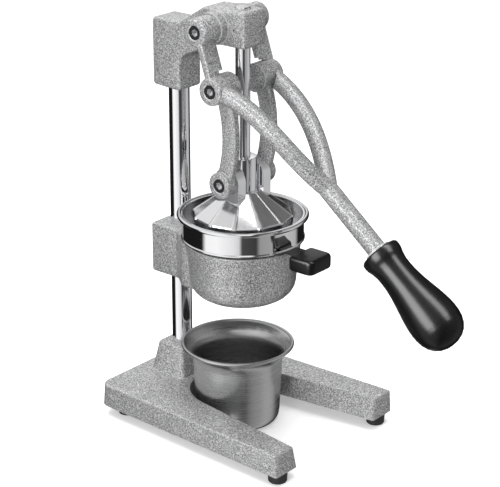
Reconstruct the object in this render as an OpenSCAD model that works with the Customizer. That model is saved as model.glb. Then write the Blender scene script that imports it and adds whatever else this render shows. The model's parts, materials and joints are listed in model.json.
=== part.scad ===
// Hand-lever citrus press: cast base, column and head, a ram driven through two bowed links by a
// forked lever, a bowl bracket on the column, a strainer pan with a reamer, and a juice cup.
// X is across, -Y is the side the lever points to, Z is up from the table.

/* [Base] */
// Distance from the ram axis forward to the tips of the legs
base_front = 114; // [100:1:130]
// Distance from the ram axis back to the rear edge
base_back = 116; // [112:1:130]
// Width across the leg tips
base_front_w = 179; // [170:1:190]
// Width across the rear corners
base_back_w = 163; // [155:1:170]
// Width of the gap between the leg tips
gap_front_w = 128; // [122:1:134]
// Radius of the gap's round closed end
gap_r = 48; // [47:0.5:50]
// Thickness of the cast base
base_t = 22; // [18:1:26]
// Height of the rubber feet
foot_h = 10.5; // [8:0.5:12]

/* [Column and ram] */
// Diameter of the column
column_d = 20; // [18:0.5:22]
// Distance from the ram axis back to the column axis
column_y = 78.8; // [78:0.2:81]
// Diameter of the ram rod
rod_d = 14; // [12:0.5:15]
// Height of the underside of the head's arm
arm_z = 378.5; // [370:0.5:385]
// Height of the head's arm from its underside to its top
arm_h = 33.5; // [32:0.5:36]
// Width of the head and its arm
head_w = 30.4; // [30:0.2:34]

/* [Linkage] */
// Distance from the crank pivot to the link pivot
crank_len = 54.6; // [53:0.1:56]
// Distance between the pivots of a link
link_len = 91.7; // [91:0.1:93]
// Crank pivot behind the ram axis
crank_y = 18.6; // [18:0.1:20]
// Crank pivot above the table
crank_z = 395; // [394:0.5:396]
// Angle of the crank below the horizontal when the press is closed
crank_angle = 71.2; // [70:0.1:73]
// Angle of the lever bar below the horizontal when the press is closed
lever_angle = 38.85; // [36:0.05:42]
// Distance from the link pivot to the start of the grip
lever_len = 204; // [195:1:210]
// Length of the grip
grip_len = 105; // [95:1:110]

/* [Bowl and pan] */
// Outer radius of the bowl's upper rim
bowl_r = 55; // [54:0.5:56]
// Height of the bowl's upper rim
bowl_z = 193; // [192:0.5:194]
// Outer radius of the pan's upper wall
pan_r = 57.9; // [57:0.1:59]
// Outer radius of the pan's rolled rim
pan_rim_r = 62.5; // [62:0.1:63]
// Height of the middle of the rolled rim
pan_rim_z = 215.5; // [214:0.5:217]
// Number of flutes on the reamer
flutes = 12; // [8:2:16]

/* [Cup] */
// Radius of the cup's body
cup_r = 42.6; // [38:0.2:43]
// Outer radius of the cup's rolled rim
cup_rim_r = 54.9; // [50:0.1:55]
// Height of the cup
cup_h = 82; // [70:1:90]

/* [Hidden] */
$fn = 96;

// Puts the middle of the whole machine's footprint at the origin
ram_y = 64.2;
// Radial play of a running fit
play = 0.05;

base_z = foot_h;
base_top = base_z + base_t;
base_draft = 2;
pedestal_top = 62.5;
head_x = head_w / 2;
head_rear_y = column_y + 19.6;
head_front_y = column_y - 14.6;
head_block_z = 327.3;
head_block_top = 392.6;
arm_front_y = -15;
arm_top = arm_z + arm_h;
column_foot_z = base_z + 8;
column_head_z = head_block_top - 8;
grub_r = 2.5;

// Pivots in the plane across X: [y, z]
pivot_a = [crank_y, crank_z];
pivot_b = pivot_a + crank_len * [-cos(crank_angle), -sin(crank_angle)];
pivot_c = [0, pivot_b[1] - sqrt(pow(link_len, 2) - pow(pivot_b[0], 2))];

// Stations across X, from the middle plane outwards
hub_x = 25;
boss_a_x = 25.4;
boss_b_x = 35.8;
lever_x = 45.8;
eye_in_x = 17.5;
eye_out_x = 35.2;
plate_in_x = 24;
plate_out_x = 31;
link_boss_x = 34.9;
ear_in_x = 12.8;
ear_out_x = 23.6;

boss_r = 13;
hub_r = 15;
eye_r = 13.6;
link_boss_r = 12.5;
ear_r = 14.5;
recess_r = 6.5;
recess_depth = 6;
shoulder_r = 4.5;
thread_r = 4;
screw_head_r = 6.2;
screw_head_h = 5;
hex_af = 6;

sleeve_r = 13.6;
sleeve_top = 272.8;
cone_top_z = 239.5;
cone_top_r = 16.5;
cone_edge_z = 217;
cone_edge_r = 49;
cone_skirt_z = 201;
cone_skirt_r = 46.5;
cone_facets = 12;
cone_wall = 2;

bowl_wall = 4;
bowl_floor_z = 133;
spout_z = 128;
spout_r = 9;
pan_wall = 1.2;
pan_floor_z = 176;
pan_cup_r = 50;
pan_rim_tube = 2.2;
cup_wall = 1.2;
cup_y = 6.5;
bar_half = 8.4;
arm_half = 7.9;
ferrule_t = 2.8;
tang_r = 5;

// ---------- shared geometry ----------

function unit(v) = v / norm(v);

// Arc that rounds the corner at v between its neighbours p and q
function corner_arc(p, v, q, r, n) =
    let (
        a = unit(p - v),
        b = unit(q - v),
        half = acos(max(-1, min(1, a * b))) / 2,
        c = v + unit(a + b) * r / sin(half),
        s = v + a * r / tan(half) - c,
        e = v + b * r / tan(half) - c,
        a0 = atan2(s[1], s[0]),
        turn = atan2(s[0] * e[1] - s[1] * e[0], s * e)
    )
    [for (i = [0:n]) c + r * [cos(a0 + turn * i / n), sin(a0 + turn * i / n)]];

// Outline through corners [x, y, radius], in order
function rounded(corners, n = 4) =
    let (m = len(corners), xy = [for (k = corners) [k[0], k[1]]])
    [for (i = [0:m - 1])
        each corners[i][2] == 0
            ? [xy[i]]
            : corner_arc(xy[(i + m - 1) % m], xy[i], xy[(i + 1) % m], corners[i][2], n)];

// Counter-clockwise outline moved inwards by d
function inset(pts, d) =
    let (m = len(pts))
    [for (i = [0:m - 1])
        let (
            u = unit(pts[i] - pts[(i + m - 1) % m]),
            v = unit(pts[(i + 1) % m] - pts[i]),
            nu = [u[1], -u[0]],
            nv = [v[1], -v[0]]
        )
        pts[i] - d * (nu + nv) / (1 + nu * nv)];

// Heights and insets of a slab from z0 to z1 whose two edges are rounded by r
function soft_levels(z0, z1, r, n = 4) = concat(
    [for (i = [0:n]) let (a = 90 * i / n) [z0 + r * (1 - cos(a)), r * (1 - sin(a))]],
    [for (i = [n:-1:0]) let (a = 90 * i / n) [z1 - r * (1 - cos(a)), r * (1 - sin(a))]]);

// Triangles [i, j, k] that fill the ring of points p named by ids, seen from the side up points to
function fill(ids, p, up) =
    let (m = len(ids))
    m == 3 ? [ids]
    : let (k = first_ear(ids, p, up, 0))
        concat([[ids[(k + m - 1) % m], ids[k], ids[(k + 1) % m]]],
            fill([for (i = [0:m - 1]) if (i != k) ids[i]], p, up));
function first_ear(ids, p, up, k) = k >= len(ids) - 1 || is_ear(ids, p, up, k) ? k
    : first_ear(ids, p, up, k + 1);
function turns(a, b, c, up) = cross(b - a, c - a) * up;
function is_ear(ids, p, up, k) =
    let (m = len(ids), before = (k + m - 1) % m, after = (k + 1) % m, a = p[ids[before]], b = p[ids[k]],
        c = p[ids[after]])
    turns(a, b, c, up) > 1e-7
    && len([for (i = [0:m - 1]) if (i != before && i != k && i != after)
        let (q = p[ids[i]])
        if (turns(a, b, q, up) >= 0 && turns(b, c, q, up) >= 0 && turns(c, a, q, up) >= 0) 1]) == 0;

// Unit normal of a ring of points
function ring_normal(ring) =
    let (n = len(ring))
    unit([for (i = ring) 1] * [for (j = [0:n - 1]) cross(ring[j] - ring[0], ring[(j + 1) % n] - ring[0])]);

// Closed skin over rings of equal length that climb along their common normal
module loft(rings) {
    m = len(rings);
    n = len(rings[0]);
    ids = [for (j = [0:n - 1]) j];
    top = (m - 1) * n;
    floor_faces = fill(ids, rings[0], ring_normal(rings[0]));
    roof_faces = fill(ids, rings[m - 1], ring_normal(rings[m - 1]));
    polyhedron(
        points = [for (ring = rings) each ring],
        faces = concat(
            floor_faces,
            [for (t = roof_faces) [top + t[2], top + t[1], top + t[0]]],
            [for (i = [0:m - 2]) for (j = [0:n - 1]) [i * n + j, (i + 1) * n + j, (i + 1) * n + (j + 1) % n]],
            [for (i = [0:m - 2]) for (j = [0:n - 1]) [i * n + j, (i + 1) * n + (j + 1) % n, i * n + (j + 1) % n]]
        ),
        convexity = 6);
}

// Soft-edged slab over a plan outline
module plan_slab(pts, z0, z1, r) {
    loft([for (s = soft_levels(z0, z1, r)) [for (q = inset(pts, s[1])) [q[0], q[1], s[0]]]]);
}

// Soft-edged slab over an outline in Y and Z, from x0 to x1
module side_slab(pts, x0, x1, r, n = 4) {
    loft([for (s = soft_levels(x0, x1, r, n)) [for (q = inset(pts, s[1])) [s[0], q[0], q[1]]]]);
}

// Cylinder along X at a point of the Y-Z plane
module along_x(p, r, x0, x1) {
    translate([x0, p[0], p[1]]) rotate([0, 90, 0]) cylinder(r = r, h = x1 - x0);
}

// Boss along X with its far edge rounded by f
module soft_boss(p, r, x0, x1, f) {
    translate([x0, p[0], p[1]]) rotate([0, 90, 0]) rotate_extrude()
        polygon(concat([[0, 0], [r, 0]],
            [for (i = [0:6]) [r - f + f * cos(15 * i), x1 - x0 - f + f * sin(15 * i)]],
            [[0, x1 - x0]]));
}

module both_sides() {
    children();
    mirror([1, 0, 0]) children();
}

// Socket-head shoulder screw along X: its head ends at x_out, its shank at x_in
module shoulder_screw(p, x_in, x_step, x_out) {
    difference() {
        union() {
            along_x(p, screw_head_r, x_out - screw_head_h, x_out);
            along_x(p, shoulder_r, x_step, x_out - screw_head_h + 0.5);
            if (x_in < x_step) along_x(p, thread_r, x_in, x_step + 0.5);
        }
        translate([x_out - 3.2, p[0], p[1]]) rotate([0, 90, 0])
            cylinder(r = hex_af / sqrt(3), h = 4, $fn = 6);
    }
}

// Bore and screw recess through a boss whose outer face is at x_out
module screw_way(p, x_in, x_out) {
    along_x(p, shoulder_r + play, x_in - 1, x_out);
    along_x(p, recess_r, x_out - recess_depth, x_out + 1);
    translate([x_out - 0.7, p[0], p[1]]) rotate([0, 90, 0])
        cylinder(r1 = recess_r - 0.2, r2 = recess_r + 0.9, h = 1);
}

// ---------- base ----------

// Plan outline that flares by the given draft below the top
function base_outline(draft) = let (
    xf = base_front_w / 2 + draft * 0.3,
    xb = base_back_w / 2 + draft * 0.5,
    xg = gap_front_w / 2 - draft * 2.2,
    yf = -base_front - draft * 0.5,
    yb = base_back + draft * 0.5,
    r = gap_r - draft * 1.3,
    tip = [xg, yf - gap_y],
    a0 = atan2(tip[1], tip[0]) + acos(r / norm(tip)),
    n = 16
)
    rounded(concat(
        [[xb, yb, 12], [-xb, yb, 12], [-xf, yf, 2.5], [-xg, yf, 2.5]],
        [for (i = [0:n]) let (a = 180 - a0 - (180 - 2 * a0) * i / n) [r * cos(a), gap_y + r * sin(a), 0]],
        [[xg, yf, 2.5], [xf, yf, 2.5]]), 5);

gap_y = 5;
foot_places = [[-76.5, -105.5], [76.5, -105.5], [-64, base_back - 20], [64, base_back - 20]];

module base_casting() {
    edge = 1.2;
    color([0.62, 0.62, 0.63]) difference() {
        union() {
            loft(concat(
                [for (q = [base_outline(base_draft)]) [for (k = q) [k[0], k[1], base_z]]],
                [for (a = [0:30:90])
                    [for (k = inset(base_outline(0), edge * (1 - cos(a))))
                        [k[0], k[1], base_top - edge * (1 - sin(a))]]]));
            pedestal();
        }
        translate([0, column_y, column_foot_z]) cylinder(d = column_d + play, h = 80);
        translate([0, column_y, base_z - 1]) cylinder(r = 6.1, h = 20);
        translate([0, column_y, base_z - 1]) cylinder(r = 12, h = 5);
        for (f = foot_places)
            translate([f[0], f[1], base_z - 1]) cylinder(r = 2.1, h = 13);
    }
}

function pedestal_ring(hx, hy, r) = rounded([[hx, column_y + 0.6 + hy, r], [-hx, column_y + 0.6 + hy, r],
    [-hx, column_y + 0.6 - hy, r], [hx, column_y + 0.6 - hy, r]], 4);

module pedestal() {
    levels = [[base_top - 4, 26, 24], [base_top, 24, 22], [base_top + 1.5, 23.1, 21.1],
        [base_top + 4, 22.5, 20.5], [pedestal_top - 1.6, 18.6, 16.3], [pedestal_top - 0.5, 18.2, 15.9],
        [pedestal_top, 17.3, 15]];
    loft([for (s = levels) [for (q = pedestal_ring(s[1], s[2], 4)) [q[0], q[1], s[0]]]]);
}

module rubber_feet() {
    for (f = foot_places)
        color([0.07, 0.07, 0.07]) translate([f[0], f[1], 0]) difference() {
            rotate_extrude() polygon([[0, 0], [7.8, 0], [8.8, 1], [9.4, base_z], [0, base_z]]);
            translate([0, 0, -1]) cylinder(r = 4.6, h = 5);
            cylinder(r = 2.2, h = base_z + 1);
        }
}

module foot_screws() {
    for (f = foot_places)
        color([0.75, 0.75, 0.77]) translate([f[0], f[1], 0]) {
            translate([0, 0, 1.6]) difference() {
                cylinder(r = 4.3, h = 2.4);
                translate([0, 0, -0.5]) cube([1, 5, 2], center = true);
                translate([0, 0, -0.5]) cube([5, 1, 2], center = true);
            }
            translate([0, 0, 3.8]) cylinder(r = 2, h = 16);
        }
}

module column() {
    color([0.9, 0.9, 0.92]) translate([0, column_y, 0]) {
        translate([0, 0, column_foot_z]) cylinder(d = column_d, h = column_head_z - column_foot_z - 1);
        translate([0, 0, column_head_z - 1.5])
            cylinder(r1 = column_d / 2 - 0.01, r2 = column_d / 2 - 1.2, h = 1.5);
        translate([0, 0, base_z - 4]) cylinder(r = 6, h = column_foot_z - base_z + 5);
    }
}

module column_washer() {
    color([0.75, 0.75, 0.77]) translate([0, column_y, base_z + 2.4]) difference() {
        cylinder(r = 11.6, h = 1.6);
        translate([0, 0, -1]) cylinder(r = 6.1, h = 4);
    }
}

module column_nut() {
    color([0.75, 0.75, 0.77]) translate([0, column_y, base_z - 5]) difference() {
        cylinder(r = 11, h = 7.4, $fn = 6);
        translate([0, 0, -1]) cylinder(r = 6.02, h = 10);
    }
}

// ---------- head ----------

head_side = rounded([[head_front_y, head_block_z - 1.6, 3.4], [head_rear_y, head_block_z, 3.4],
    [head_rear_y, head_block_top, 4], [head_front_y, head_block_top, 7], [34, arm_top - 0.6, 8],
    [arm_front_y, arm_top, 3.2], [arm_front_y, arm_z, 3.2], [19.5, arm_z, 30],
    [head_front_y, arm_z - 18.8, 11]]);

module head_casting() {
    color([0.62, 0.62, 0.63]) difference() {
        union() {
            side_slab(head_side, -head_x, head_x, 2.5);
            both_sides() {
                along_x(pivot_a, 16.2, head_x - 3, 16.8);
                soft_boss(pivot_a, hub_r, head_x - 3, hub_x, 0.8);
            }
        }
        translate([0, column_y, head_block_z - 3])
            cylinder(d = column_d + play, h = column_head_z - head_block_z + 3.5);
        translate([0, 0, arm_z - 1]) cylinder(r = bush_r + 0.02, h = arm_h - 5);
        translate([0, 0, arm_top - 8]) cylinder(r = rod_d / 2 + 0.3, h = 12);
        both_sides() along_x(pivot_a, thread_r + 0.02, 11, 30);
        translate([-head_x - 1, -1.5, crank_z - 0.6]) rotate([0, 90, 0]) cylinder(r = grub_r + 0.02, h = 14);
        for (z = head_grub_z)
            translate([0, head_rear_y + 1, z]) rotate([90, 0, 0]) cylinder(r = grub_r + 0.02, h = 12);
    }
}

bush_r = 9;
head_grub_z = [head_block_z + 16, head_block_z + 48];

// Grub screw that points along +Z with its socket at the top
module grub_screw(len) {
    difference() {
        cylinder(r = grub_r, h = len);
        translate([0, 0, len - 2.5]) cylinder(r = 1.45, h = 3, $fn = 6);
    }
}

module head_grub_screws() {
    color([0.2, 0.2, 0.21]) {
        translate([-bush_r - 0.1, -1.5, crank_z - 0.6]) rotate([0, -90, 0]) grub_screw(5.6);
        for (z = head_grub_z)
            translate([0, column_y + column_d / 2 + 0.05, z]) rotate([-90, 0, 0]) grub_screw(7.9);
    }
}

module guide_bush() {
    color([0.8, 0.66, 0.3]) translate([0, 0, arm_z + 0.3]) difference() {
        cylinder(r = bush_r, h = arm_h - 7);
        translate([0, 0, -1]) cylinder(r = rod_d / 2 + play, h = arm_h + 2);
    }
}

module crank_pivot_screws() {
    color([0.12, 0.12, 0.12])
        both_sides() shoulder_screw(pivot_a, hub_x - 12, hub_x, lever_x - 0.7);
}

// ---------- lever ----------

// Point of the lever's own frame: s along the bar from the link pivot, h above it
function lever_point(s, h, x) = [x,
    pivot_b[0] - s * cos(lever_angle) - h * sin(lever_angle),
    pivot_b[1] - s * sin(lever_angle) + h * cos(lever_angle)];

// Fork arm's middle line: a Bezier curve from the boss to the bar
arm_guides = [[1, 1, 37.3], [47, 22, 29], [85, 8, 28], [130, 0, 0]];
function arm_at(t) = pow(1 - t, 3) * arm_guides[0] + 3 * pow(1 - t, 2) * t * arm_guides[1]
    + 3 * (1 - t) * t * t * arm_guides[2] + pow(t, 3) * arm_guides[3];
function arm_dir(t) = unit(arm_at(min(1, t + 0.01)) - arm_at(max(0, t - 0.01)));

// Rounded-square section of half width w: [across, up]
function squircle(w, n = 24) = [for (i = [0:n - 1])
    let (a = 360 * i / n, c = cos(a), s = sin(a))
    w * [sign(c) * pow(abs(c), 0.78), sign(s) * pow(abs(s), 0.78)]];

module fork_arm() {
    steps = 20;
    loft([for (i = [0:steps])
        let (t = i / steps, p = arm_at(t), d = arm_dir(t), side = unit(cross(d, [0, 1, 0])), up = cross(side, d))
        [for (q = squircle(arm_half)) let (v = p + q[0] * side + q[1] * up) lever_point(v[0], v[1], v[2])]]);
}

module lever_bar(s0, s1) {
    loft([for (s = [s0, s1]) [for (q = squircle(bar_half)) lever_point(s, q[1], q[0])]]);
}

// Crank strap from pivot A to pivot B
module crank_strap() {
    ahead = 1.5;
    t = 3.4;
    along = unit(pivot_b - pivot_a);
    out = [along[1], -along[0]];
    p0 = pivot_a + out * ahead;
    p1 = pivot_b + out * ahead;
    side_slab(rounded([for (k = [p0 - out * t, p0 + out * t, p1 + out * t, p1 - out * t]) [k[0], k[1], 0]]),
        boss_a_x + 0.4, lever_x - 0.4, 1.2, 3);
}

module lever_casting() {
    color([0.66, 0.66, 0.67]) difference() {
        union() {
            both_sides() {
                soft_boss(pivot_a, boss_r, boss_a_x, lever_x, 2.2);
                soft_boss(pivot_b, boss_r, boss_b_x, lever_x, 2.2);
                crank_strap();
                fork_arm();
            }
            lever_bar(116, lever_len - ferrule_t);
            grip_frame(lever_len - ferrule_t - 1) cylinder(r = tang_r, h = 88);
        }
        both_sides() {
            screw_way(pivot_a, boss_a_x - 2, lever_x);
            screw_way(pivot_b, boss_b_x - 2, lever_x);
            along_x(pivot_b, eye_r + 0.8, -1, boss_b_x);
            along_x(pivot_b, eye_r + 3.5, -1, plate_out_x + 0.8);
        }
    }
}

// Frame with +Z along the lever bar, its origin at distance s from the link pivot
module grip_frame(s) {
    translate(lever_point(s, 0, 0)) rotate([90 + lever_angle, 0, 0]) children();
}

module lever_ferrule() {
    color([0.9, 0.9, 0.92]) grip_frame(lever_len - ferrule_t) rotate_extrude() difference() {
        translate([tang_r + 0.05, 0]) square([12.6 - tang_r, ferrule_t]);
        translate([12.6, -1]) rotate(20) square([3, 8]);
    }
}

module lever_grip() {
    profile = [[0, 0], [17.6, 0], [18.7, 1.2], [19, 4.5], [18.5, 8], [17, 12.5], [16, 18], [15.9, 24],
        [16.2, 31], [17.2, 39], [18.7, 47], [20.4, 55], [22, 63], [23.2, 71], [23.6, 77], [23.4, 83],
        [22.3, 89], [20, 94.5], [16.6, 99], [12, 102.4], [6.5, 104.4], [0, 105]];
    color([0.05, 0.05, 0.05]) grip_frame(lever_len) difference() {
        rotate_extrude() polygon([for (q = profile) [q[0], q[1] * grip_len / 105]]);
        translate([0, 0, -1]) cylinder(r = tang_r + 0.05, h = 86.5);
    }
}

// ---------- links ----------

link_bow = 9.3;
link_half_w = 8.2;
link_dir = atan2(pivot_c[1] - pivot_b[1], pivot_c[0] - pivot_b[0]);
bow_r = (pow(link_len / 2, 2) + pow(link_bow, 2)) / (2 * link_bow);

// Plate between the pivots that bows away from the column
function link_outline() = let (
    mid = (pivot_b + pivot_c) / 2,
    back = [-sin(link_dir), cos(link_dir)],
    centre = mid + back * (bow_r - link_bow),
    half = asin(link_len / 2 / bow_r),
    a_mid = atan2(-back[1], -back[0]),
    n = 14
)
    concat(
        [for (i = [0:n]) let (a = a_mid - half + 2 * half * i / n)
            centre + (bow_r + link_half_w) * [cos(a), sin(a)]],
        [for (i = [n:-1:0]) let (a = a_mid - half + 2 * half * i / n)
            centre + (bow_r - link_half_w) * [cos(a), sin(a)]]);

module link_casting() {
    color([0.6, 0.6, 0.61]) difference() {
        union() {
            side_slab(link_outline(), plate_in_x, plate_out_x, 1.4, 3);
            along_x(pivot_b, eye_r, eye_in_x, eye_out_x);
            soft_boss(pivot_c, link_boss_r, plate_in_x, link_boss_x, 2);
        }
        along_x(pivot_b, thread_r + 0.02, eye_in_x + 2.5, eye_out_x + 1);
        screw_way(pivot_c, plate_in_x, link_boss_x);
    }
}

module link_screws() {
    color([0.12, 0.12, 0.12]) {
        shoulder_screw(pivot_b, eye_in_x + 3.5, eye_out_x, lever_x - 0.7);
        shoulder_screw(pivot_c, plate_in_x + 0.2, plate_in_x + 0.2, link_boss_x - 0.7);
    }
}

module right_link() { link_casting(); }
module left_link() { mirror([1, 0, 0]) link_casting(); }
module right_link_screws() { link_screws(); }
module left_link_screws() { mirror([1, 0, 0]) link_screws(); }

// ---------- ram ----------

module ram_rod() {
    top = arm_top + 2.2;
    color([0.9, 0.9, 0.92]) difference() {
        union() {
            translate([0, 0, 246]) cylinder(d = rod_d, h = top - 247);
            translate([0, 0, top - 1.01]) cylinder(r1 = rod_d / 2 - 0.01, r2 = rod_d / 2 - 1, h = 1);
        }
        along_x([0, 262], 2.52, -10, 10);
        translate([0, 0, 245]) cylinder(r = 3.02, h = 9);
    }
}

// Flat facets between narrow raised ridges, stacked from the skirt's lower edge up to the neck
ridge = [[-3.2, 0.974], [-1.5, 1], [1.5, 1], [3.2, 0.974]];
function cone_ring(r, z) = [for (i = [0:cone_facets - 1]) for (k = ridge)
    let (a = 360 / cone_facets * i + k[0]) [r * k[1] * cos(a), r * k[1] * sin(a), z]];
cone_rings = [cone_ring(cone_skirt_r, cone_skirt_z), cone_ring(cone_edge_r - 0.5, cone_edge_z - 1.5),
    cone_ring(cone_edge_r - 1.2, cone_edge_z), cone_ring(cone_top_r, cone_top_z)];
// Largest circle inside a ring of facets, as a share of its radius
facet_share = 0.974 * cos(180 / cone_facets - 3.2);

module press_cone() {
    skirt_in = cone_skirt_r * facet_share - cone_wall;
    top_in = cone_top_r * facet_share - 0.3;
    color([0.88, 0.88, 0.9]) difference() {
        loft(cone_rings);
        translate([0, 0, cone_skirt_z - 1]) cylinder(r = skirt_in, h = cone_edge_z - cone_skirt_z + 1);
        translate([0, 0, cone_edge_z - 0.2])
            cylinder(r1 = skirt_in + 0.4, r2 = top_in, h = cone_top_z - cone_wall - cone_edge_z);
        translate([0, 0, cone_top_z - 10]) cylinder(r = 3.1, h = 20);
    }
}

module ram_yoke() {
    color([0.88, 0.88, 0.9]) difference() {
        union() {
            translate([0, 0, cone_top_z]) rotate_extrude()
                polygon([[0, 0], [sleeve_r, 0], [sleeve_r, sleeve_top - cone_top_z - 1.2],
                    [sleeve_r - 0.35, sleeve_top - cone_top_z - 0.35],
                    [sleeve_r - 1.2, sleeve_top - cone_top_z], [0, sleeve_top - cone_top_z]]);
            both_sides() {
                along_x(pivot_c, ear_r, ear_in_x, ear_out_x);
                translate([ear_in_x, -ear_r + 0.15, cone_top_z - 10])
                    cube([ear_out_x - ear_in_x, 2 * ear_r - 0.3, pivot_c[1] - cone_top_z + 10]);
            }
            translate([0, 0, cone_top_z - 6]) cylinder(r = cone_top_r * facet_share - 0.2, h = 7);
        }
        loft(cone_rings);
        translate([0, 0, 246]) cylinder(r = rod_d / 2 + 0.02, h = 40);
        translate([0, 0, cone_top_z - 12]) cylinder(r = 3.02, h = 20);
        both_sides() along_x(pivot_c, thread_r, sleeve_r + 1, ear_out_x + 1);
        along_x([0, 262], 2.52, -15, 15);
    }
}

module ram_cross_pin() {
    color([0.75, 0.75, 0.77]) along_x([0, 262], 2.5, -13.2, 13.2);
}

module press_cone_screw() {
    color([0.75, 0.75, 0.77]) {
        translate([0, 0, cone_top_z - cone_wall - 4.3]) difference() {
            cylinder(r = 6, h = 4.08);
            translate([0, 0, -1]) cylinder(r = 2.6, h = 3.2, $fn = 6);
        }
        translate([0, 0, cone_top_z - cone_wall - 0.2]) cylinder(r = 3, h = 15);
    }
}

// ---------- bowl and pan ----------

bowl_inner = [[bowl_r - bowl_wall, bowl_z + 1], [bowl_r - bowl_wall - 0.5, 178], [51.4 - bowl_wall, 157],
    [50.8 - bowl_wall, 149], [48.6 - bowl_wall, 143], [44.6 - bowl_wall, 139.6], [spout_r, 136.5],
    [0, 136.5], [0, bowl_z + 1]];

module bowl_casting() {
    color([0.62, 0.62, 0.63]) difference() {
        union() {
            rotate_extrude() polygon([[0, spout_z], [11.5, spout_z], [12.6, bowl_floor_z + 0.4],
                [34, bowl_floor_z + 0.6], [39.5, bowl_floor_z + 2], [44.2, bowl_floor_z + 4.8],
                [47.8, bowl_floor_z + 8.6], [50, bowl_floor_z + 13], [51.2, bowl_floor_z + 18.5],
                [51.6, 158], [52.4, 168],
                [54.3, 180], [bowl_r, 186], [bowl_r, bowl_z - 4.2], [bowl_r - 0.6, bowl_z - 3.6],
                [bowl_r - 2.4, bowl_z - 3.6], [bowl_r - 2.4, bowl_z], [0, bowl_z]]);
            plan_slab(rounded([[23.5, 97.3, 3.4], [-23.5, 97.3, 3.4], [-23.5, 62, 9], [-36, 47, 9],
                [-36, 12, 3.4], [36, 12, 3.4], [36, 47, 9], [23.5, 62, 9]]), 139.5, 190.3, 3);
        }
        rotate_extrude() polygon(bowl_inner);
        translate([0, 0, spout_z - 1]) cylinder(r = spout_r, h = 20);
        translate([0, column_y, 130]) cylinder(d = column_d + 2 * play, h = 70);
        for (z = bowl_grub_z)
            translate([0, 98, z]) rotate([90, 0, 0]) cylinder(r = grub_r + 0.02, h = 10);
    }
}

bowl_grub_z = [152, 178];

module bowl_grub_screws() {
    color([0.2, 0.2, 0.21])
        for (z = bowl_grub_z)
            translate([0, column_y + column_d / 2 + 0.1, z]) rotate([-90, 0, 0]) grub_screw(6.8);
}

module strainer_pan() {
    lip_z = bowl_z + 0.05;
    color([0.9, 0.9, 0.92]) difference() {
        rotate_extrude() {
            polygon([[0, pan_floor_z], [pan_cup_r - 3, pan_floor_z], [pan_cup_r, pan_floor_z + 3],
                [pan_cup_r, lip_z], [pan_r + 0.9, lip_z], [pan_r + 0.9, lip_z + 1],
                [pan_r, lip_z + 2], [pan_r, pan_rim_z], [pan_r - pan_wall, pan_rim_z],
                [pan_r - pan_wall, lip_z + pan_wall], [pan_cup_r - pan_wall, lip_z + pan_wall],
                [pan_cup_r - pan_wall, pan_floor_z + 3.4], [pan_cup_r - 3.4, pan_floor_z + pan_wall],
                [0, pan_floor_z + pan_wall]]);
            translate([pan_rim_r - pan_rim_tube, pan_rim_z]) circle(r = pan_rim_tube, $fn = 32);
            translate([pan_r - pan_wall, pan_rim_z - 1])
                square([pan_rim_r - pan_rim_tube - pan_r + pan_wall, 2]);
        }
        for (k = [[12, 16], [18, 24], [24, 32]], i = [0:k[0] - 1])
            rotate(360 * i / k[0]) translate([k[1], 0, pan_floor_z - 1]) cylinder(r = 1.6, h = 4, $fn = 24);
    }
}

module pan_tongue() {
    color([0.85, 0.85, 0.87]) translate([-9, -84, bowl_z - 1.45]) cube([18, 84 - bowl_r + 1.5, 1.5]);
}

module pan_handle() {
    handle = rounded([[17.4, -67.6, 4.5], [-17.4, -67.6, 4.5], [-17, -95.2, 7], [17, -95.2, 7]], 5);
    color([0.05, 0.05, 0.05]) difference() {
        plan_slab(handle, 179.6, 194.2, 3.6);
        translate([-9.05, -84.1, bowl_z - 1.5]) cube([18.1, 22, 1.6]);
        for (y = handle_rivet_y) translate([0, y, 182]) cylinder(r = 1.52, h = bowl_z - 183.4);
    }
}

handle_rivet_y = [-80, -73];

module pan_handle_rivets() {
    color([0.75, 0.75, 0.77]) for (y = handle_rivet_y)
        translate([0, y, 182.1]) cylinder(r = 1.5, h = bowl_z - 1.5 - 182.1);
}

// Fluted dome with a radius that swells and falls with each flute
module reamer_cone() {
    z0 = pan_floor_z + pan_wall;
    steps = 9;
    n = flutes * 6;
    color([0.9, 0.9, 0.92]) difference() {
        loft([for (i = [0:steps])
            let (u = i / steps, r = 40 * pow(1 - u * 0.985, 0.62), depth = 0.1 * (1 - u * u))
            [for (j = [0:n - 1]) let (a = 360 * j / n, k = r * (1 - depth * (0.5 - 0.5 * cos(flutes * a))))
                [k * cos(a), k * sin(a), z0 + 42 * u]]]);
        translate([0, 0, z0 - 1]) cylinder(r1 = 32, r2 = 4, h = 30);
    }
}

// ---------- cup ----------

module juice_cup() {
    rim = cup_rim_r - 1.6;
    color([0.75, 0.75, 0.76]) translate([0, cup_y, 0]) rotate_extrude() {
        polygon([[0, 0], [cup_r - 11, 0], [cup_r - 7, 0.8], [cup_r - 4, 2.8], [cup_r - 2.2, 6],
            [cup_r - 1.4, 11], [cup_r + 1, cup_h - 18], [cup_r + 1.8, cup_h - 14], [cup_r + 3.8, cup_h - 9.4],
            [rim - 2, cup_h - 3.6], [rim, cup_h - 2.1], [rim - 0.5, cup_h - 0.9], [rim - 3, cup_h - 2.6],
            [cup_r + 2.6, cup_h - 8.8], [cup_r + 0.7, cup_h - 13.6], [cup_r - 0.2, cup_h - 18],
            [cup_r - 1.4 - cup_wall, 11.2], [cup_r - 3.3, 6.6], [cup_r - 4.8, 3.8], [cup_r - 7.4, 2],
            [cup_r - 11.2, cup_wall], [0, cup_wall]]);
        translate([rim, cup_h - 1.6]) circle(r = 1.6, $fn = 24);
    }
}

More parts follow.
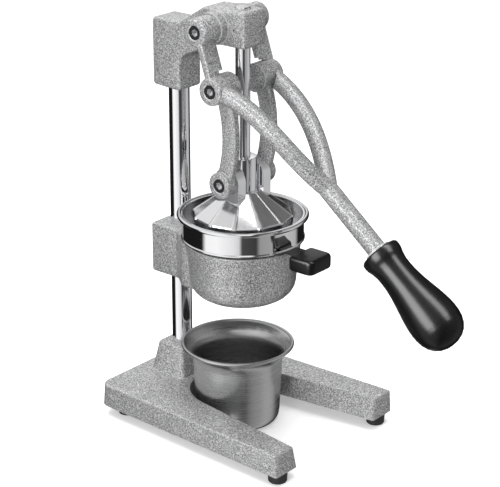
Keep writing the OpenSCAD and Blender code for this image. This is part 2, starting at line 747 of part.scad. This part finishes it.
translate([0, ram_y, 0]) {
    base_casting();
    rubber_feet();
    foot_screws();
    column();
    column_washer();
    column_nut();
    head_casting();
    head_grub_screws();
    guide_bush();
    crank_pivot_screws();
    bowl_casting();
    bowl_grub_screws();
    strainer_pan();
    pan_tongue();
    pan_handle();
    pan_handle_rivets();
    reamer_cone();
    lever_casting();
    lever_ferrule();
    lever_grip();
    left_link();
    left_link_screws();
    right_link();
    right_link_screws();
    ram_rod();
    ram_yoke();
    ram_cross_pin();
    press_cone();
    press_cone_screw();
    juice_cup();
}
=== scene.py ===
"""Looks for the hand-lever citrus press: enamelled castings, polished and brushed steel, black mouldings."""

import json
import math

import bmesh
import bpy
from mathutils import Matrix, Vector


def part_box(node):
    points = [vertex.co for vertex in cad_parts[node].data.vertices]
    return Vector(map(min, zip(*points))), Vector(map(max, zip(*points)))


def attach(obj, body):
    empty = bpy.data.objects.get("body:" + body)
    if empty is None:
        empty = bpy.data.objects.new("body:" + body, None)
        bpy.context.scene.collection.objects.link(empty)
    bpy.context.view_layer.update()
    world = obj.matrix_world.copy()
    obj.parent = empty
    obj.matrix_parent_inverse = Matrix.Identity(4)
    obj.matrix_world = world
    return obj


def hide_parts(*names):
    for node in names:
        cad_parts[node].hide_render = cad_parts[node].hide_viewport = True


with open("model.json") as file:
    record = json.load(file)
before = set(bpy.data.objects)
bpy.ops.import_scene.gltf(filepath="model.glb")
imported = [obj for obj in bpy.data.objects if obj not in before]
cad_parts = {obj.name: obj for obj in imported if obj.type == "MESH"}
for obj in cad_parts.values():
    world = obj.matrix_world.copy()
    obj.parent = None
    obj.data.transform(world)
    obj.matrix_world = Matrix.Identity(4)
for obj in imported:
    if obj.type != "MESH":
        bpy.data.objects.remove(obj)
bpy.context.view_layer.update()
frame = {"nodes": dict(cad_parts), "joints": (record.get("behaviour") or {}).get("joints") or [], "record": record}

nodes = frame["nodes"]
record = frame["record"]
body_of = {n: b for b, members in record["behaviour"]["bodies"].items() for n in members}
slot_of = {s["node"]: s["material_slot"] for s in record["subparts"]}
joints = {j["name"]: j for j in frame["joints"]}


def centre(node):
    low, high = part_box(node)
    return (low + high) / 2


ram_axis = centre("ram_rod")
pivot_a = Vector(joints["lever_hinge"]["pos_m"])
pivot_b = Vector(joints["left_link_hinge"]["pos_m"])
# The lowest point of the link screws is the rim of the lower one's head
screw_head_r = 0.0062
pivot_c = Vector((0, ram_axis.y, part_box("left_link_screws")[0].z + screw_head_r))

# ---------- materials ----------


class Surface:
    """A Principled material and the short calls that wire its detail."""

    def __init__(self, name, color, metallic=0.0, roughness=0.5):
        self.m = bpy.data.materials.new(name)
        self.m.use_nodes = True
        self.t = self.m.node_tree
        self.b = self.t.nodes["Principled BSDF"]
        self.b.inputs["Base Color"].default_value = (*color, 1)
        self.b.inputs["Metallic"].default_value = metallic
        self.b.inputs["Roughness"].default_value = roughness
        self.m.diffuse_color = (*color, 1)
        self.coords = self.t.nodes.new("ShaderNodeTexCoord").outputs["Object"]

    def put(self, socket, value):
        if isinstance(value, bpy.types.NodeSocket):
            self.t.links.new(value, socket)
        else:
            socket.default_value = value

    def set(self, **values):
        for name, value in values.items():
            self.put(self.b.inputs[name.replace("_", " ")], value)
        return self

    def scaled(self, x, y, z):
        n = self.t.nodes.new("ShaderNodeMapping")
        n.inputs["Scale"].default_value = (x, y, z)
        self.t.links.new(self.coords, n.inputs["Vector"])
        return n.outputs["Vector"]

    def noise(self, scale, detail=3.0, roughness=0.5, distortion=0.0, vector=None):
        n = self.t.nodes.new("ShaderNodeTexNoise")
        self.put(n.inputs["Vector"], vector or self.coords)
        n.inputs["Scale"].default_value = scale
        n.inputs["Detail"].default_value = detail
        n.inputs["Roughness"].default_value = roughness
        n.inputs["Distortion"].default_value = distortion
        return n.outputs["Fac"]

    def cells(self, scale):
        n = self.t.nodes.new("ShaderNodeTexVoronoi")
        n.feature = "SMOOTH_F1"
        self.put(n.inputs["Vector"], self.coords)
        n.inputs["Scale"].default_value = scale
        n.inputs["Randomness"].default_value = 1.0
        return n.outputs["Distance"]

    def math(self, kind, a, b=0.0, clamp=False):
        n = self.t.nodes.new("ShaderNodeMath")
        n.operation = kind
        n.use_clamp = clamp
        self.put(n.inputs[0], a)
        self.put(n.inputs[1], b)
        return n.outputs[0]

    def span(self, value, a, b, to_a, to_b):
        n = self.t.nodes.new("ShaderNodeMapRange")
        self.put(n.inputs["Value"], value)
        for name, v in (("From Min", a), ("From Max", b), ("To Min", to_a), ("To Max", to_b)):
            n.inputs[name].default_value = v
        return n.outputs["Result"]

    def blend(self, fac, a, b):
        n = self.t.nodes.new("ShaderNodeMix")
        n.data_type = "RGBA"
        self.put(n.inputs["Factor"], fac)
        sockets = [s for s in n.inputs if s.type == "RGBA"]
        for socket, value in zip(sockets, (a, b)):
            self.put(socket, value if isinstance(value, bpy.types.NodeSocket) else (*value, 1))
        return [s for s in n.outputs if s.type == "RGBA"][0]

    def soft_normal(self, radius):
        n = self.t.nodes.new("ShaderNodeBevel")
        n.samples = 4
        n.inputs["Radius"].default_value = radius
        return n.outputs["Normal"]

    def edge_highlight_share(self, normal, gain):
        """Mask for painted edge highlights: 0 on flats and up to 1 where an edge has been softened."""
        geometry = self.t.nodes.new("ShaderNodeNewGeometry")
        dot = self.t.nodes.new("ShaderNodeVectorMath")
        dot.operation = "DOT_PRODUCT"
        self.t.links.new(normal, dot.inputs[0])
        self.t.links.new(geometry.outputs["Normal"], dot.inputs[1])
        return self.math("MULTIPLY", self.math("SUBTRACT", 1.0, dot.outputs["Value"]), gain, clamp=True)

    def bump(self, height, strength, distance, normal=None):
        n = self.t.nodes.new("ShaderNodeBump")
        n.inputs["Strength"].default_value = strength
        n.inputs["Distance"].default_value = distance
        self.put(n.inputs["Height"], height)
        if normal is not None:
            self.put(n.inputs["Normal"], normal)
        return n.outputs["Normal"]


def hammer_enamel():
    s = Surface("hammer_enamel", (0.36, 0.36, 0.365), 0.45, 0.42)
    soft = s.soft_normal(0.0011)
    edge = s.edge_highlight_share(soft, 9.0)
    grain = s.noise(1000, 2.0, 0.62, 0.35)
    cell = s.cells(860)
    cloud = s.noise(45, 3.0, 0.5)
    mottled = s.math("ADD", s.math("MULTIPLY", grain, 0.72), s.math("MULTIPLY", cell, 0.42))
    tone = s.span(mottled, 0.42, 0.7, 0.0, 1.0)
    paint = s.blend(tone, (0.13, 0.13, 0.133), (0.78, 0.78, 0.785))
    paint = s.blend(s.span(cloud, 0.35, 0.65, 0.0, 0.2), paint, (0.45, 0.45, 0.455))
    # Painted highlight: the softened edges are lightened towards pale grey, as though light caught them
    paint = s.blend(edge, paint, (0.85, 0.85, 0.86))
    rough = s.span(mottled, 0.3, 0.8, 0.48, 0.34)
    s.set(Base_Color=paint, Roughness=rough, Normal=s.bump(mottled, 0.6, 0.0003, soft))
    s.set(Coat_Weight=0.25, Coat_Roughness=0.3)
    return s.m


def polished_steel():
    s = Surface("polished_steel", (0.86, 0.86, 0.87), 1.0, 0.06)
    soft = s.soft_normal(0.0006)
    lines = s.noise(1.0, 2.0, 0.6, vector=s.scaled(30, 30, 1800))
    wipe = s.noise(22, 3.0, 0.6)
    s.set(Roughness=s.math("ADD", s.span(lines, 0.3, 0.7, 0.03, 0.075), s.span(wipe, 0.4, 0.7, 0.0, 0.05)))
    s.set(Normal=s.bump(wipe, 0.05, 0.0012, soft))
    return s.m


def satin_steel():
    s = Surface("satin_steel", (0.84, 0.84, 0.85), 1.0, 0.2)
    soft = s.soft_normal(0.0007)
    edge = s.edge_highlight_share(soft, 12.0)
    lines = s.noise(1.0, 2.0, 0.6, vector=s.scaled(400, 400, 1500))
    wipe = s.noise(26, 3.0, 0.6)
    # Painted highlight: the softened edges and ridges get a whiter base colour, as though light caught them
    s.set(Base_Color=s.blend(edge, (0.8, 0.8, 0.81), (1.0, 1.0, 1.0)))
    s.set(Roughness=s.math("ADD", s.span(lines, 0.3, 0.7, 0.17, 0.23), s.span(wipe, 0.4, 0.7, 0.0, 0.05)))
    s.set(Normal=s.bump(wipe, 0.06, 0.001, soft))
    return s.m


def chrome_bar():
    s = Surface("chrome_bar", (0.88, 0.88, 0.9), 1.0, 0.04)
    soft = s.soft_normal(0.0005)
    wipe = s.noise(60, 2.0, 0.5, vector=s.scaled(1, 1, 0.12))
    s.set(Roughness=s.span(wipe, 0.35, 0.7, 0.03, 0.08), Normal=s.bump(wipe, 0.02, 0.0006, soft))
    return s.m


def brushed_steel():
    s = Surface("brushed_steel", (0.6, 0.6, 0.61), 1.0, 0.26)
    lines = s.noise(1.0, 3.0, 0.7, vector=s.scaled(9, 9, 2600))
    wipe = s.noise(16, 3.0, 0.55)
    s.set(Base_Color=s.blend(s.span(lines, 0.3, 0.7, 0, 1), (0.5, 0.5, 0.505), (0.68, 0.68, 0.685)))
    s.set(Roughness=s.math("ADD", s.span(lines, 0.3, 0.7, 0.2, 0.32), s.span(wipe, 0.4, 0.7, 0.0, 0.06)))
    s.set(Anisotropic=0.5, Normal=s.bump(lines, 0.08, 0.00006))
    return s.m


def black_plastic():
    s = Surface("black_plastic", (0.012, 0.012, 0.013), 0.0, 0.16)
    ripple = s.noise(26, 2.0, 0.5)
    dust = s.noise(900, 2.0, 0.6)
    s.set(Roughness=s.math("ADD", s.span(ripple, 0.35, 0.7, 0.24, 0.32), s.span(dust, 0.5, 0.8, 0.0, 0.08)))
    s.set(Base_Color=s.blend(s.span(dust, 0.62, 0.8, 0, 0.35), (0.005, 0.005, 0.0055), (0.02, 0.02, 0.021)))
    s.set(Normal=s.bump(ripple, 0.05, 0.002, s.soft_normal(0.0012)), Specular_IOR_Level=0.07)
    s.set(Coat_Weight=0.25, Coat_Roughness=0.28)
    return s.m


def foot_rubber():
    s = Surface("foot_rubber", (0.02, 0.02, 0.021), 0.0, 0.7)
    grain = s.noise(1300, 2.0, 0.6)
    s.set(Base_Color=s.blend(grain, (0.012, 0.012, 0.013), (0.045, 0.045, 0.047)))
    s.set(Roughness=s.span(grain, 0.3, 0.7, 0.55, 0.8), Normal=s.bump(grain, 0.25, 0.0002))
    return s.m


def black_steel():
    s = Surface("black_steel", (0.03, 0.03, 0.032), 0.6, 0.32)
    grain = s.noise(700, 3.0, 0.6)
    s.set(Base_Color=s.blend(grain, (0.015, 0.015, 0.016), (0.06, 0.06, 0.065)))
    s.set(Roughness=s.span(grain, 0.3, 0.7, 0.25, 0.42))
    s.set(Normal=s.bump(grain, 0.08, 0.0001, s.soft_normal(0.0004)))
    return s.m


def bright_steel(name, color, metallic=1.0):
    s = Surface(name, color, metallic, 0.22)
    grain = s.noise(420, 3.0, 0.6)
    turned = s.noise(1.0, 2.0, 0.6, vector=s.scaled(2400, 60, 60))
    s.set(Roughness=s.math("ADD", s.span(grain, 0.3, 0.7, 0.14, 0.26), s.span(turned, 0.4, 0.6, 0.0, 0.06)))
    s.set(Normal=s.bump(grain, 0.06, 0.0001, s.soft_normal(0.0004)))
    return s.m


finish = {
    "hammer_enamel": hammer_enamel(),
    "polished_steel": polished_steel(),
    "chrome_bar": chrome_bar(),
    "brushed_steel": brushed_steel(),
    "black_plastic": black_plastic(),
    "foot_rubber": foot_rubber(),
    "black_steel": black_steel(),
    "zinc_steel": bright_steel("zinc_steel", (0.72, 0.73, 0.75)),
    "bush_brass": bright_steel("bush_brass", (0.72, 0.55, 0.27)),
}
machined = bright_steel("machined_steel", (0.86, 0.86, 0.87))
satin = satin_steel()
bright_ring = bright_steel("bright_ring", (0.93, 0.93, 0.94), 0.4)

# ---------- pieces ----------

# Width of the rounding on each node's sharp edges, in metres; the others keep their own mesh
EDGE = {
    "base_casting": 0.0009,
    "head_casting": 0.0008,
    "bowl_casting": 0.0009,
    "lever_casting": 0.0007,
    "left_link": 0.0006,
    "right_link": 0.0006,
    "ram_yoke": 0.0006,
    "press_cone": 0.0004,
    "reamer_cone": 0.0003,
    "pan_handle": 0.0006,
    "pan_tongue": 0.0004,
    "column_nut": 0.0004,
    "rubber_feet": 0.0005,
    "left_link_screws": 0.0002,
    "right_link_screws": 0.0002,
    "crank_pivot_screws": 0.0002,
    "juice_cup": 0.0,
    "strainer_pan": 0.0,
    "lever_grip": 0.0,
    "lever_ferrule": 0.0003,
}
# Angle between faces above which an edge stays an edge, in degrees
CREASE = {"reamer_cone": 50, "press_cone": 7, "juice_cup": 40, "strainer_pan": 40, "lever_grip": 40}


def finished(node, width):
    """A copy of a CAD node with its faces joined, its curves smooth and its edges rounded."""
    crease = math.radians(CREASE.get(node, 30))
    mesh = bpy.data.meshes.new(node + "_finish")
    bm = bmesh.new()
    bm.from_mesh(nodes[node].data)
    bmesh.ops.remove_doubles(bm, verts=bm.verts, dist=4e-6)
    bmesh.ops.dissolve_limit(bm, angle_limit=math.radians(0.6), verts=bm.verts, edges=bm.edges)
    for face in bm.faces:
        face.smooth = True
    for edge in bm.edges:
        edge.smooth = len(edge.link_faces) == 2 and edge.calc_face_angle(0) < crease
    bm.to_mesh(mesh)
    bm.free()
    if "custom_normal" in mesh.attributes:
        mesh.attributes.remove(mesh.attributes["custom_normal"])
    piece = bpy.data.objects.new(node + "_finish", mesh)
    bpy.context.scene.collection.objects.link(piece)
    mesh.materials.clear()
    mesh.materials.append(finish[slot_of[node]])
    for face in mesh.polygons:
        face.material_index = 0
    if width:
        bevel = piece.modifiers.new("edges", "BEVEL")
        bevel.width = width
        bevel.segments = 2
        bevel.limit_method = "ANGLE"
        bevel.angle_limit = max(crease, math.radians(30))
        bevel.use_clamp_overlap = True
        bevel.harden_normals = True
        bevel.miter_outer = "MITER_ARC"
    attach(piece, body_of[node])
    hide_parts(node)
    return piece


def refinish(mesh, material, chosen=lambda face: True):
    """Gives another material to the faces of a mesh that chosen(face) picks, or to all of them."""
    mesh.materials.append(material)
    index = len(mesh.materials) - 1
    for face in mesh.polygons:
        if chosen(face):
            face.material_index = index


pieces = {}
for node, mesh_object in nodes.items():
    if node in EDGE:
        pieces[node] = finished(node, EDGE[node])
    else:
        mesh_object.data.materials.clear()
        mesh_object.data.materials.append(finish[slot_of[node]])
        for face in mesh_object.data.polygons:
            face.material_index = 0


def faces_inwards(face):
    """True where a face of the strainer pan looks towards the ram's axis."""
    from_axis = face.center - ram_axis
    return from_axis.x * face.normal.x + from_axis.y * face.normal.y < -0.01


# The press cone is satin all over, the strainer pan inside, and the ferrule is whiter than the polished parts
refinish(pieces["press_cone"].data, satin)
refinish(pieces["strainer_pan"].data, satin, faces_inwards)
refinish(pieces["lever_ferrule"].data, bright_ring)

# The groove under the bowl's rim: how far down it reaches, and its inner and outer radius
groove_depth, groove_in, groove_out = 0.0038, 0.05, 0.0546
groove_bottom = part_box("bowl_casting")[1].z - groove_depth


def in_groove(face):
    """True where a face of the bowl lies in the groove under the pan's lip."""
    away = math.hypot(face.center.x, face.center.y - ram_axis.y)
    return face.center.z > groove_bottom and groove_in < away < groove_out


# Painted shade: the bowl's rim groove and the pan's tongue get black steel so that they lie dark, standing in for
# the shade of the pan's lip
refinish(pieces["bowl_casting"].data, finish["black_steel"], in_groove)
refinish(pieces["pan_tongue"].data, finish["black_steel"])

# The side grub screw is painted over with the casting
refinish(nodes["head_grub_screws"].data, finish["hammer_enamel"], lambda face: face.center.y < pivot_a.y)


def round_pivots(mesh, axes, limit, low_x, high_x):
    """Picks the faces of a mesh within limit of a pivot axis whose centre |x| is in range."""
    def chosen(face):
        corners = [mesh.vertices[i].co for i in face.vertices]
        near = any(max(math.hypot(c.y - a.y, c.z - a.z) for c in corners) < limit for a in axes)
        return near and low_x < abs(face.center.x) < high_x

    return chosen


# Bright turned recesses round the pivot screws, and bright sockets in them, on the sides that look outwards
recess_r, socket_r, inner_x = 0.0078, 0.0036, 0.0305
for node, axes, limit in (
    ("lever_casting", (pivot_a, pivot_b), recess_r),
    ("left_link", (pivot_c,), recess_r),
    ("right_link", (pivot_c,), recess_r),
    ("crank_pivot_screws", (pivot_a,), socket_r),
    ("left_link_screws", (pivot_b, pivot_c), socket_r),
    ("right_link_screws", (pivot_b, pivot_c), socket_r),
):
    outer_x = max(abs(end.x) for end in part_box(node)) + 0.001
    mesh = pieces[node].data
    refinish(mesh, machined, round_pivots(mesh, axes, limit, inner_x, outer_x))

# ---------- table, light and camera ----------

# The photo's viewpoint: direction, distance, lens in mm, and the shift that its framing needs
view_from = math.radians(-50.08)
view_down = math.radians(21.2)
view_distance = 1.6245
view_lens = 123.2
view_shift = 0.0142
view_height = 0.1848
back = Vector((math.sin(view_from) * math.cos(view_down), -math.cos(view_from) * math.cos(view_down),
               math.sin(view_down)))
side = Vector((math.cos(view_from), math.sin(view_from), 0))
flat_back = Vector((back.x, back.y, 0)).normalized()
target = Vector((0, ram_axis.y, view_height))

bpy.ops.mesh.primitive_plane_add(size=60, location=(0, 0, 0))
table = bpy.context.object
table.name = "table_top"
surface = Surface("table_white", (0.93, 0.93, 0.935), 0.0, 0.6)
surface.set(Roughness=surface.span(surface.noise(60, 3.0), 0.3, 0.7, 0.55, 0.7))
surface.set(Specular_IOR_Level=0.1, Emission_Color=(1, 1, 1, 1))
# The camera sees a white table, little of its light reaches the press, and steel mirrors the studio past it
path = surface.t.nodes.new("ShaderNodeLightPath")
surface.set(Base_Color=surface.blend(path.outputs["Is Camera Ray"], (0.3, 0.3, 0.302), (0.95, 0.95, 0.95)))
surface.set(Emission_Strength=surface.math("MULTIPLY", path.outputs["Is Camera Ray"], 0.3))
clear = surface.t.nodes.new("ShaderNodeBsdfTransparent")
mixed = surface.t.nodes.new("ShaderNodeMixShader")
surface.t.links.new(path.outputs["Is Glossy Ray"], mixed.inputs[0])
surface.t.links.new(surface.b.outputs[0], mixed.inputs[1])
surface.t.links.new(clear.outputs[0], mixed.inputs[2])
surface.t.links.new(mixed.outputs[0], surface.t.nodes["Material Output"].inputs["Surface"])
table.data.materials.append(surface.m)


def softbox(name, toward, away, size, power, along=Vector((0, 0, 1)), seen_by=None):
    """Area light in a direction from the target, its long side along a direction, facing the target.

    It lights matt surfaces and isn't seen in reflections. One with seen_by, a collection of pieces, is
    only seen in the reflections of those pieces.
    """
    lamp = bpy.data.lights.new(name, "AREA")
    lamp.shape = "RECTANGLE"
    lamp.size, lamp.size_y = size
    lamp.energy = power
    holder = bpy.data.objects.new(name, lamp)
    bpy.context.scene.collection.objects.link(holder)
    facing = toward.normalized()
    across = along.cross(facing).normalized()
    turn = Matrix((across, facing.cross(across), facing)).transposed()
    holder.matrix_world = Matrix.Translation(target + facing * away) @ turn.to_4x4()
    holder.visible_diffuse = seen_by is None
    holder.visible_glossy = seen_by is not None
    if seen_by is not None:
        holder.light_linking.receiver_collection = seen_by


def group_of(name, chosen):
    """Collection of some pieces, for the lamps that only they reflect."""
    group = bpy.data.collections.new(name)
    for node in chosen:
        group.objects.link(pieces[node])
    return group


def height(z):
    """Straight up by z."""
    return Vector((0, 0, z))


softbox("top_light", height(1.6) - side * 0.25 - flat_back * 0.2, 1.6, (1.8, 1.8), 34, flat_back)
softbox("left_light", flat_back * 0.9 - side * 1.1 + height(0.5), 1.5, (0.5, 1.1), 2.2)
softbox("front_light", flat_back * 1.5 - side * 0.6 + height(0.2), 1.6, (0.5, 1.0), 19)
softbox("right_light", side * 1.2 + flat_back * 0.1 + height(0.95), 1.5, (0.4, 0.6), 0.6)

# Two long softboxes beside the lever's line give the grip, and more weakly the lever, their streaks
grip_way = centre("lever_grip") - pivot_b
bar_run = Vector((0, grip_way.y, grip_way.z)).normalized()
plastic = group_of("plastic_pieces", ("lever_grip", "pan_handle"))
metal = group_of("streaked_pieces", ("lever_casting", "press_cone"))
from_left = Vector((-0.947, 0.054, 0.315))
from_above = Vector((0.078, -0.42, 0.904))
softbox("left_strip", from_left, 1.5, (1.0, 1.9), 130, bar_run, plastic)
softbox("top_strip", from_above, 1.5, (0.6, 1.9), 65, bar_run, plastic)
softbox("left_bar_strip", from_left, 1.5, (0.28, 1.9), 7, bar_run, metal)
softbox("top_bar_strip", from_above, 1.5, (0.26, 1.9), 6, bar_run, metal)


def studio_world():
    """White for the camera, a soft sky for matt surfaces, and bright and dark bands for reflections."""
    world = bpy.data.worlds.new("studio")
    world.use_nodes = True
    bpy.context.scene.world = world
    t = world.node_tree
    t.nodes.clear()

    def add(kind, **fields):
        n = t.nodes.new(kind)
        for k, v in fields.items():
            setattr(n, k, v)
        return n

    def maths(kind, a, b=0.0, clamp=False):
        n = add("ShaderNodeMath", operation=kind, use_clamp=clamp)
        for socket, value in zip(n.inputs, (a, b)):
            if isinstance(value, bpy.types.NodeSocket):
                t.links.new(value, socket)
            else:
                socket.default_value = value
        return n.outputs[0]

    def ramp_of(steps, fac):
        ramp = add("ShaderNodeValToRGB")
        elements = ramp.color_ramp.elements
        while len(elements) < len(steps):
            elements.new(0.5)
        for element, (at, value) in zip(elements, steps):
            element.position = at
            element.color = (value / 2, value / 2, value / 2, 1)
        t.links.new(fac, ramp.inputs["Fac"])
        return maths("MULTIPLY", ramp.outputs["Color"], 2.0)

    split = add("ShaderNodeSeparateXYZ")
    t.links.new(add("ShaderNodeTexCoord").outputs["Generated"], split.inputs[0])
    x, y, z = split.outputs
    turn = maths("SUBTRACT", maths("ARCTAN2", y, x), math.atan2(back.y, back.x))
    share = maths("FRACT", maths("ADD", maths("MULTIPLY", turn, 1 / (2 * math.pi)), 2.5))
    # Brightness round the room, from behind the press, past its left, the camera and its right
    ring = ramp_of([(0.0, 0.85), (0.015, 0.7), (0.04, 0.012), (0.272, 0.015), (0.296, 1.3), (0.36, 1.35),
                    (0.45, 1.1), (0.48, 0.9), (0.495, 0.09), (0.57, 0.06), (0.59, 0.42), (0.68, 0.5),
                    (0.73, 0.72), (0.82, 0.6), (0.85, 0.015), (0.96, 0.012), (0.985, 0.7)], share)
    # The roof takes over from the ring a little above the horizon
    roof_starts, roof_gain = 0.12, 3.5
    high = maths("MULTIPLY", maths("SUBTRACT", z, roof_starts), roof_gain, clamp=True)
    # Overhead, the studio is bright to the camera's left and darker to its right
    across = maths("ADD", maths("MULTIPLY", x, side.x / 2), maths("MULTIPLY", y, side.y / 2))
    roof = ramp_of([(0.0, 0.9), (0.27, 1.25), (0.32, 0.8), (0.4, 0.72), (0.46, 1.15), (0.6, 1.2), (0.64, 0.1),
                    (0.76, 0.12), (0.84, 0.4), (1.0, 0.5)], maths("ADD", across, 0.5))
    room = maths("ADD", maths("MULTIPLY", ring, maths("SUBTRACT", 1.0, high)), maths("MULTIPLY", high, roof))
    sky_low, sky_rise = 0.16, 0.75
    sky = maths("ADD", maths("MULTIPLY", maths("MAXIMUM", z, 0.0), sky_rise), sky_low)
    path = add("ShaderNodeLightPath")
    glossy = path.outputs["Is Glossy Ray"]
    matt = maths("SUBTRACT", 1.0, glossy)
    lit = maths("ADD", maths("MULTIPLY", room, glossy), maths("MULTIPLY", matt, sky))
    camera = path.outputs["Is Camera Ray"]
    total = maths("ADD", maths("MULTIPLY", lit, maths("SUBTRACT", 1.0, camera)), camera)
    light = add("ShaderNodeBackground")
    t.links.new(total, light.inputs["Strength"])
    t.links.new(light.outputs[0], add("ShaderNodeOutputWorld").inputs["Surface"])


studio_world()
bpy.context.scene.view_settings.view_transform = "Standard"

camera = bpy.data.objects.new("camera", bpy.data.cameras.new("camera"))
bpy.context.scene.collection.objects.link(camera)
camera.location = target + back * view_distance
camera.rotation_euler = (-back).to_track_quat("-Z", "Y").to_euler()
camera.data.sensor_width = 36
camera.data.lens = view_lens
camera.data.shift_x = view_shift
camera.data.clip_end = 50
bpy.context.scene.camera = camera
